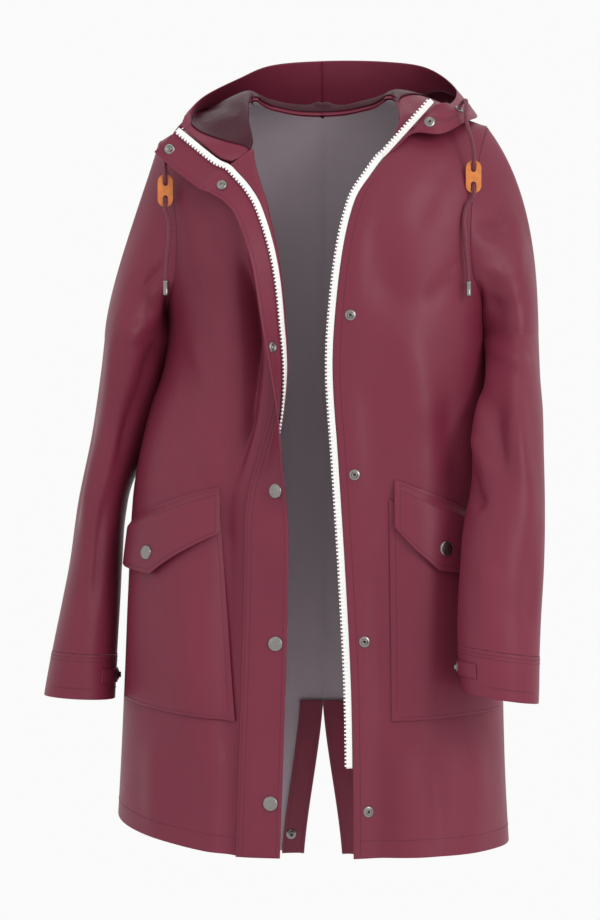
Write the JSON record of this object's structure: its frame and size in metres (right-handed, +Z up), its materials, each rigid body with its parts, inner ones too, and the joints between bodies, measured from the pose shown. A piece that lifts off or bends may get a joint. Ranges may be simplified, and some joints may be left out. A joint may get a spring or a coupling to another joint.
{
  "type": "raincoat",
  "caption": "Hooded thigh-length raincoat worn open, with a zip under a snap fly, flap pockets, cuffs with tabs, a back vent and drawcords.",
  "frame": {"origin": "middle of the neck opening, level with the highest points of the shoulder seams", "axes": "+Z up, the front faces -Y, +X is the wearer's left"},
  "size_m": [0.5556, 0.3936, 0.9307],
  "materials": {
    "cloth": "satin rubberised cloth",
    "lining": "glossy satin",
    "cord": "braided",
    "zip": "moulded, semi matte",
    "leather": "smooth tan",
    "metal": "polished"
  },
  "bodies": {
    "root": {"front_left": "cloth", "front_right": "cloth", "back_left": "cloth", "back_right": "cloth", "facing_right": "cloth", "fly": "cloth", "sleeve_left": "cloth", "sleeve_right": "cloth", "cuff_left": "cloth", "cuff_right": "cloth", "cuff_tab_left": "cloth", "cuff_tab_right": "cloth", "hood_left": "cloth", "hood_right": "cloth", "pocket_left": "cloth", "pocket_right": "cloth", "flap_left": "cloth", "flap_right": "cloth", "vent_facing_left": "cloth", "vent_facing_right": "cloth", "hood_lining": "lining", "cord_left": "cord", "cord_right": "cord", "zip_left": "zip", "zip_right": "zip", "stopper_left": "leather", "stopper_right": "leather", "flap_snap_left": "metal", "flap_snap_right": "metal", "fly_snap_1": "metal", "fly_snap_2": "metal", "fly_snap_3": "metal", "fly_snap_4": "metal", "fly_snap_5": "metal", "fly_snap_6": "metal", "front_stud_1": "metal", "front_stud_2": "metal", "front_stud_3": "metal", "front_stud_4": "metal", "front_stud_5": "metal", "vent_snap": "metal", "cuff_snap_left": "metal", "cuff_snap_right": "metal", "cord_tip_left": "metal", "cord_tip_right": "metal", "eyelet_left": "metal", "eyelet_right": "metal"}
  },
  "joints": []
}
